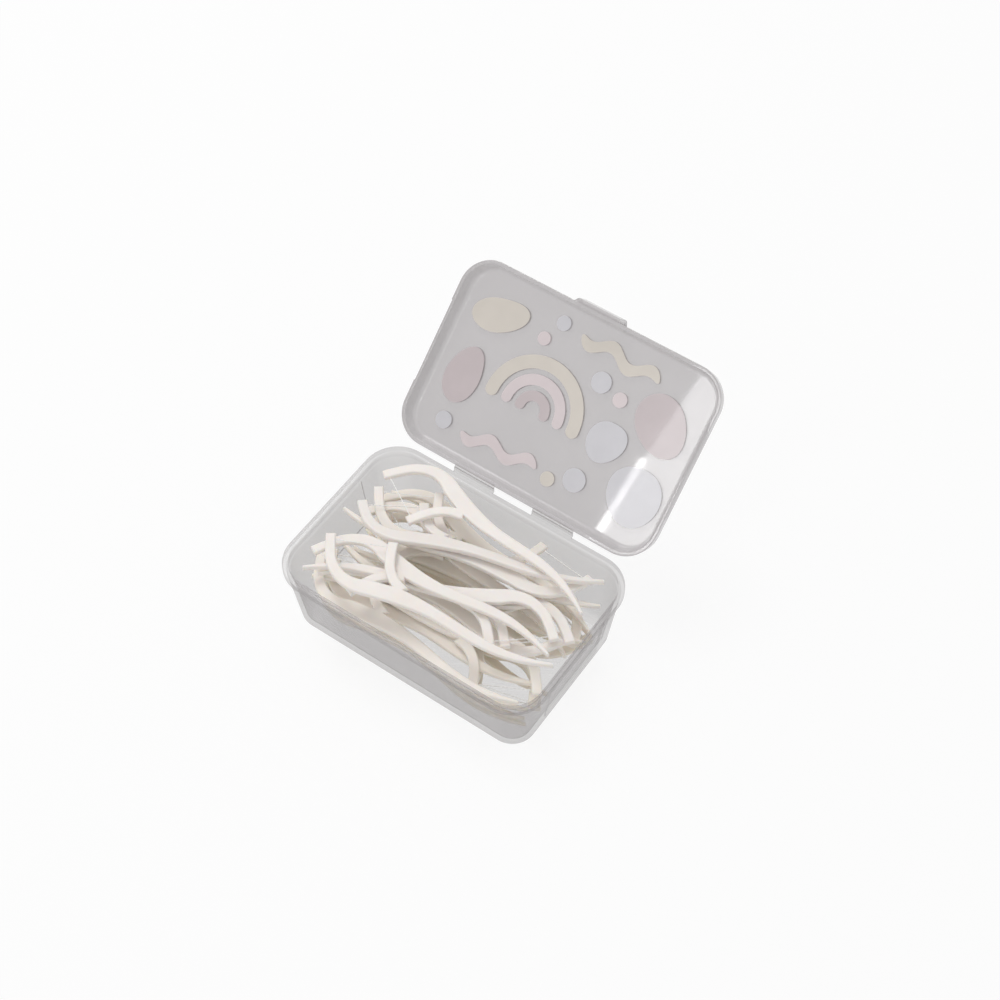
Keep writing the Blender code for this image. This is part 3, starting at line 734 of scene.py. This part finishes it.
def cad_place(node, model):
    """The matrix that lays the model's points on the CAD node's own corners."""
    corners = {tuple(round(c, 7) for c in vertex.co) for vertex in node.data.vertices}
    target = np.array(sorted(corners))
    axes = []
    for cloud in (model, target):
        spread = cloud - cloud.mean(0)
        axes.append(np.linalg.eigh(spread.T @ spread)[1])
    tree = kdtree.KDTree(len(target))
    for index, point in enumerate(target):
        tree.insert(point, index)
    tree.balance()
    best = None
    for signs in product((1, -1), repeat=3):
        turn = axes[1] @ np.diag(signs) @ axes[0].T
        if np.linalg.det(turn) < 0:
            continue
        laid = (model - model.mean(0)) @ turn.T + target.mean(0)
        miss = sum(tree.find(point)[2] for point in laid) / len(laid)
        if best is None or miss < best[0]:
            best = (miss, turn)
    miss, turn = best
    if miss > PLACE_TOLERANCE:
        raise ValueError("%s isn't where its model lies: %.3f mm" % (node.name, miss / MM))
    matrix = Matrix(turn.tolist()).to_4x4()
    matrix.translation = Vector(target.mean(0) - turn @ model.mean(0))
    return matrix


def thread_ends():
    """The thread's ends, a little inside the arms that hold it."""
    ends = []
    for arm in (LONG_ARM_SHARES, SHORT_ARM_SHARES):
        end = np.array(bow_point(arm[0]))
        up_the_arm = np.array(bow_point(arm[1])) - end
        ends.append(end + up_the_arm / math.hypot(*up_the_arm) * FLOSS_INSET)
    span = ends[1] - ends[0]
    along = span / math.hypot(*span) * ARM_WIDTH / 3
    return ends[0] + along, ends[1] - along


def thread_mesh():
    """Fine fibres twisted round each other, stretched from arm to arm."""
    first, second = thread_ends()
    span = second - first
    along = Vector((*span, 0)).normalized()
    side = Vector((-along.y, along.x, 0))
    up = Vector((0, 0, 1))
    shape = bmesh.new()
    for fibre in range(FIBRE_COUNT):
        rows = []
        for step in range(FIBRE_STEPS + 1):
            t = step / FIBRE_STEPS
            twist = 2 * math.pi * (FIBRE_TURNS * t + fibre / FIBRE_COUNT)
            centre = Vector((*(first + span * t), 0))
            centre += FIBRE_TWIST * (side * math.cos(twist) + up * math.sin(twist))
            row = []
            for corner in range(FIBRE_SIDES):
                angle = 2 * math.pi * corner / FIBRE_SIDES
                offset = FIBRE_RADIUS * (side * math.cos(angle) + up * math.sin(angle))
                row.append(shape.verts.new(centre + offset))
            rows.append(row)
        skin(shape, rows)
    return mesh_from(shape, "thread_fine", sharp_degrees=80)


def build_picks(plastic, fibre):
    plan = pick_outline(*CAD_STEPS)[:, :2]
    half = PICK_THICKNESS / 2
    model = np.vstack([np.column_stack([plan, np.full(len(plan), z)]) for z in (-half, half)])
    pick_shape = pick_mesh()
    thread_shape = thread_mesh()
    names = sorted(name for name in frame["nodes"] if name.startswith("pick_"))
    for name in names:
        number = name.removeprefix("pick_")
        matrix = cad_place(frame["nodes"][name], model)
        pick = add_piece(
            "pick_frame_" + number, pick_shape.copy(), plastic, "box", matrix)
        flatten_normals(pick)
        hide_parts(name)
        thread = add_piece(
            "thread_" + number, thread_shape.copy(), fibre, "box", matrix)
        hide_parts("floss_" + number)


# Printed pattern on the lid, as flat motifs in the closed lid's plan: generic pebbles, arches,
# waves and dots

def placed(points, x, y, turn):
    """The points turned by some degrees and moved."""
    c, s = math.cos(math.radians(turn)), math.sin(math.radians(turn))
    return [(x + px * c - py * s, y + px * s + py * c) for px, py in points]


def pebble(x, y, half_x, half_y, turn=0.0, wobble=0.06, phase=0.0):
    """An oval whose outline swells and sinks a little."""
    points = []
    for step in range(PEBBLE_STEPS):
        angle = 2 * math.pi * step / PEBBLE_STEPS
        swell = wobble * math.sin(2 * angle + phase)
        reach = 1 + swell + wobble / 2 * math.sin(3 * angle + 2 * phase)
        points.append((half_x * reach * math.cos(angle), half_y * reach * math.sin(angle)))
    return placed(points, x, y, turn)


def dot(x, y, radius):
    return pebble(x, y, radius, radius, wobble=0.0)


def arch(x, y, outer, inner, turn=0.0):
    """A half ring with round ends."""
    points = []
    middle, half = (outer + inner) / 2, (outer - inner) / 2
    for step in range(ARCH_STEPS + 1):
        angle = math.pi * step / ARCH_STEPS
        points.append((outer * math.cos(angle), outer * math.sin(angle)))
    for step in range(1, ARCH_END_STEPS):
        angle = math.pi + math.pi * step / ARCH_END_STEPS
        points.append((-middle + half * math.cos(angle), half * math.sin(angle)))
    for step in range(ARCH_STEPS + 1):
        angle = math.pi - math.pi * step / ARCH_STEPS
        points.append((inner * math.cos(angle), inner * math.sin(angle)))
    for step in range(1, ARCH_END_STEPS):
        angle = math.pi + math.pi * step / ARCH_END_STEPS
        points.append((middle + half * math.cos(angle), half * math.sin(angle)))
    return placed(points, x, y, turn)


def wave(x, y, length, width, height, turn=0.0):
    """A wavy band with two crests."""
    upper, lower = [], []
    for step in range(WAVE_STEPS + 1):
        t = step / WAVE_STEPS
        px = (t - 0.5) * length
        py = height * math.sin(4 * math.pi * t)
        half = width / 2 * math.sqrt(max(1 - (2 * t - 1) ** 8, 0.02))
        upper.append((px, py + half))
        lower.append((px, py - half))
    return placed(upper + lower[::-1], x, y, turn)


def print_motifs():
    """(name, ink, outline) of each motif; lengths in millimetres in the closed lid's plan."""
    return [
        ("arch_outer", "beige", arch(-8, 5, 16.0, 12.0, 180)),
        ("arch_middle", "pink", arch(-8, 5, 10.4, 7.2, 180)),
        ("arch_inner", "mauve", arch(-8, 5, 5.6, 2.6, 180)),
        ("pebble_left", "mauve", pebble(-32.0, 5.5, 5.6, 8.8, 12)),
        ("pebble_corner", "beige", pebble(-29.5, -15.0, 8.5, 5.4, -24, 0.08, 1.0)),
        ("wave_top", "beige", wave(9.5, -20.0, 27, 3.6, 1.6, 4)),
        ("wave_low", "pink", wave(-12, 20.0, 26, 3.4, 1.5, -3)),
        ("pebble_middle", "white", pebble(16.5, 3.0, 5.4, 6.8, 20, 0.07, 2.0)),
        ("pebble_right", "mauve", pebble(29.0, -8.5, 9.2, 7.6, 35, 0.05, 0.5)),
        ("pebble_low", "white", pebble(31.0, 13.0, 7.8, 9.2, -18, 0.06, 1.4)),
        ("dot_1", "white", dot(-10.5, -21.5, 2.2)),
        ("dot_2", "pink", dot(-14.0, -15.0, 2.0)),
        ("dot_3", "white", dot(7.5, -11.5, 3.1)),
        ("dot_4", "pink", dot(14.8, -9.5, 2.2)),
        ("dot_5", "white", dot(13.0, 17.0, 3.5)),
        ("dot_6", "beige", dot(5.5, 20.5, 2.2)),
        ("dot_7", "white", dot(-31.5, 20.0, 2.6)),
    ]


def build_print():
    inks = {name: print_ink(name, colour) for name, colour in PRINT_COLOURS.items()}
    inner_z = LID_RIM_Z + LID_DEPTH - WALL - INK_THICKNESS
    outer_z = LID_RIM_Z + LID_DEPTH
    for name, ink, outline in print_motifs():
        shape = bmesh.new()
        for base in (inner_z, outer_z):
            lower = [shape.verts.new((x * MM, y * MM, base)) for x, y in outline]
            upper = [shape.verts.new((x * MM, y * MM, base + INK_THICKNESS)) for x, y in outline]
            skin(shape, (lower, upper))
        mesh = mesh_from(shape, "print_" + name)
        mesh.transform(OPENED)
        add_piece("print_" + name, mesh, inks[ink], "lid")


# Stage, lights and camera

def build_stage():
    bpy.ops.mesh.primitive_plane_add(size=FLOOR_SIZE, location=(0, 0, 0))
    floor = bpy.context.object
    floor.name = "floor"
    floor.data.materials.append(floor_material("floor_white", FLOOR_GLOW))


def add_lamp(name, place, turn, size, watts):
    """A flat lamp of the given length and width, which shines along its own -Z."""
    light = bpy.data.lights.new(name, "AREA")
    light.shape = "RECTANGLE"
    light.size, light.size_y = size
    light.energy = watts
    lamp = add_object(name, light)
    lamp.location = place
    lamp.rotation_mode = "QUATERNION"
    lamp.rotation_quaternion = turn


def camera_back():
    azimuth, elevation = math.radians(VIEW_AZIMUTH), math.radians(VIEW_ELEVATION)
    return Vector((
        math.sin(azimuth) * math.cos(elevation), -math.cos(azimuth) * math.cos(elevation),
        math.sin(elevation)))


def build_camera():
    data = bpy.data.cameras.new("camera")
    data.lens = VIEW_LENS
    data.sensor_width = SENSOR_WIDTH
    camera = add_object("camera", data)
    camera.location = Vector(VIEW_TARGET) + camera_back() * VIEW_DISTANCE
    camera.rotation_mode = "QUATERNION"
    camera.rotation_quaternion = (-camera_back()).to_track_quat("-Z", "Y")
    bpy.context.scene.camera = camera
    return camera


def mirrored_place(camera, lid_point, reach):
    """Where a lamp stands whose image shows at a point of the lid's inner face, and that point."""
    spot = OPENED @ Vector((*lid_point, LID_RIM_Z + LID_DEPTH - WALL))
    normal = (OPENED.to_3x3() @ Vector((0, 0, -1))).normalized()
    look = (spot - camera.location).normalized()
    return spot + look.reflect(normal) * reach, spot


def add_mirrored_lamp(camera, name, line, width, watts):
    """An oblong lamp whose image lies along a line of the closed lid's plan."""
    ends = [mirrored_place(camera, point, MIRROR_REACH) for point in line]
    (first, first_spot), (last, last_spot) = ends
    middle = (first + last) / 2
    along = (last - first).normalized()
    back = (middle - (first_spot + last_spot) / 2).normalized()
    across = back.cross(along).normalized()
    turn = Matrix((along, across, along.cross(across))).transposed().to_quaternion()
    add_lamp(name, middle, turn, ((last - first).length, width), watts)


def build_lights(camera):
    """A sky that looks white, a lamp to the left, and the two lamps that the lid mirrors."""
    world = bpy.data.worlds.new("studio")
    bpy.context.scene.world = world
    world.use_nodes = True
    sky = world.node_tree.nodes["Background"]
    sky.inputs["Color"].default_value = (1, 1, 1, 1)
    strength = ranged(world.node_tree, looked_at(world.node_tree), 0, 1, SKY_LEVEL, 1)
    world.node_tree.links.new(strength, sky.inputs["Strength"])
    turn = Vector(KEY_PLACE).to_track_quat("Z", "Y")
    add_lamp("key", KEY_PLACE, turn, (KEY_SIZE, KEY_SIZE), KEY_WATTS)
    add_mirrored_lamp(camera, "softbox", SOFTBOX_LINE, SOFTBOX_WIDTH, SOFTBOX_WATTS)
    add_mirrored_lamp(camera, "strip", STRIP_LINE, STRIP_WIDTH, STRIP_WATTS)


def main():
    tray_plastic = frosted_plastic("tray_plastic", TRAY_GREY, *TRAY_HAZE)
    lid_plastic = frosted_plastic("lid_plastic", LID_GREY, *LID_HAZE)
    build_tray(tray_plastic)
    build_lid(lid_plastic)
    build_webs(tray_plastic)
    build_print()
    build_picks(pick_plastic(), thread_fibre())
    build_stage()
    camera = build_camera()
    build_lights(camera)
    scene = bpy.context.scene
    scene.view_settings.view_transform = "Standard"


main()
